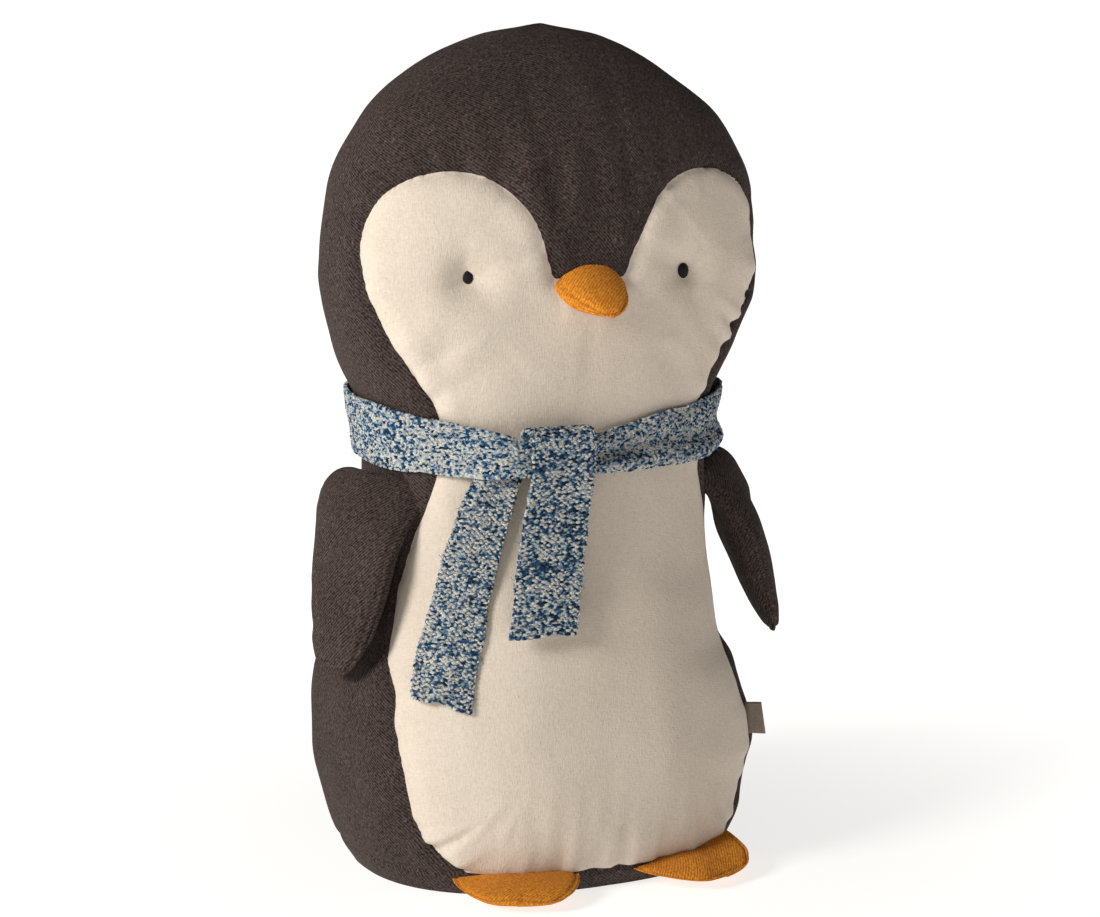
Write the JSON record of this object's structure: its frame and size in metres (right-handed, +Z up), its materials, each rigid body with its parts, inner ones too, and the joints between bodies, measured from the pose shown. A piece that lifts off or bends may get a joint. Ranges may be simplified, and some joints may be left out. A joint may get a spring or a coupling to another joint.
{
  "type": "plush penguin",
  "caption": "Standing stuffed penguin in dark twill and cream cotton with hinged wings, flat feet, stuffed beak and a tied knitted scarf.",
  "frame": {"origin": "on the floor, at the middle of the base panel", "axes": "+Z up, the penguin faces -Y, +X is its own left side"},
  "size_m": [0.2619, 0.214, 0.44],
  "materials": {
    "charcoal_twill": "brushed cotton twill, charcoal brown with pale flecks",
    "cream_cotton": "plain woven cream cotton",
    "ochre_twill": "brushed ochre cotton twill",
    "marl_knit": "stocking-stitch knit in a blue, cream and navy marl yarn",
    "eye_black": "satin black",
    "label_tape": "woven taupe tape",
    "white_fibre": "loose white fibre filling",
    "calico": "unbleached calico",
    "pellets": "loose plastic granules"
  },
  "bodies": {
    "torso": {"body_fill": "white_fibre", "pellet_bag": "calico", "pellet_fill": "pellets", "eye_pull_thread": "eye_black", "face_belly_panel": "cream_cotton", "forehead_side_panel": "charcoal_twill", "back_panel_left": "charcoal_twill", "back_panel_right": "charcoal_twill", "base_panel": "charcoal_twill", "eye_left": "eye_black", "eye_right": "eye_black", "beak_upper_panel": "ochre_twill", "beak_lower_panel": "ochre_twill", "beak_fill": "white_fibre", "scarf_neck_band": "marl_knit", "scarf_knot": "marl_knit"},
    "wing_left": {"wing_left_outer_panel": "charcoal_twill", "wing_left_inner_panel": "charcoal_twill", "wing_left_fill": "white_fibre"},
    "wing_right": {"wing_right_outer_panel": "charcoal_twill", "wing_right_inner_panel": "charcoal_twill", "wing_right_fill": "white_fibre"},
    "foot_left": {"foot_left_upper": "ochre_twill", "foot_left_sole": "ochre_twill", "foot_left_fill": "white_fibre"},
    "foot_right": {"foot_right_upper": "ochre_twill", "foot_right_sole": "ochre_twill", "foot_right_fill": "white_fibre"},
    "scarf_front_tail": {"scarf_front_tail": "marl_knit"},
    "scarf_side_tail": {"scarf_side_tail": "marl_knit"},
    "side_label": {"side_label": "label_tape"}
  },
  "joints": [
    {"name": "wing_left_lift", "type": "hinge", "parent": "torso", "child": "wing_left", "pos_m": [0.0975, -0.012, 0.2125], "axis": [-0.3256, -0.9455, 0], "range_deg": [-5, 62], "stiffness_Nm_per_rad": 0.03},
    {"name": "wing_right_lift", "type": "hinge", "parent": "torso", "child": "wing_right", "pos_m": [-0.0975, -0.012, 0.2125], "axis": [-0.3256, 0.9455, 0], "range_deg": [-2, 68], "stiffness_Nm_per_rad": 0.03},
    {"name": "foot_left_bend", "type": "hinge", "parent": "torso", "child": "foot_left", "pos_m": [0.043, -0.0834, 0.0105], "axis": [-0.9135, -0.4067, 0], "range_deg": [-12, 14], "stiffness_Nm_per_rad": 0.02},
    {"name": "foot_right_bend", "type": "hinge", "parent": "torso", "child": "foot_right", "pos_m": [-0.043, -0.0834, 0.0105], "axis": [-0.9135, 0.4067, 0], "range_deg": [-12, 14], "stiffness_Nm_per_rad": 0.02},
    {"name": "scarf_front_tail_swing", "type": "hinge", "parent": "torso", "child": "scarf_front_tail", "pos_m": [-0.0205, -0.0751, 0.2125], "axis": [-0.9993, 0.0376, 0], "range_deg": [0, 80]},
    {"name": "scarf_side_tail_swing", "type": "hinge", "parent": "torso", "child": "scarf_side_tail", "pos_m": [-0.054, -0.0623, 0.2125], "axis": [-0.9707, 0.2404, 0], "range_deg": [0, 75]},
    {"name": "side_label_flex", "type": "hinge", "parent": "torso", "child": "side_label", "pos_m": [0.1037, -0.0502, 0.0725], "axis": [0, 0, 1], "range_deg": [-45, 45], "stiffness_Nm_per_rad": 0.001}
  ]
}
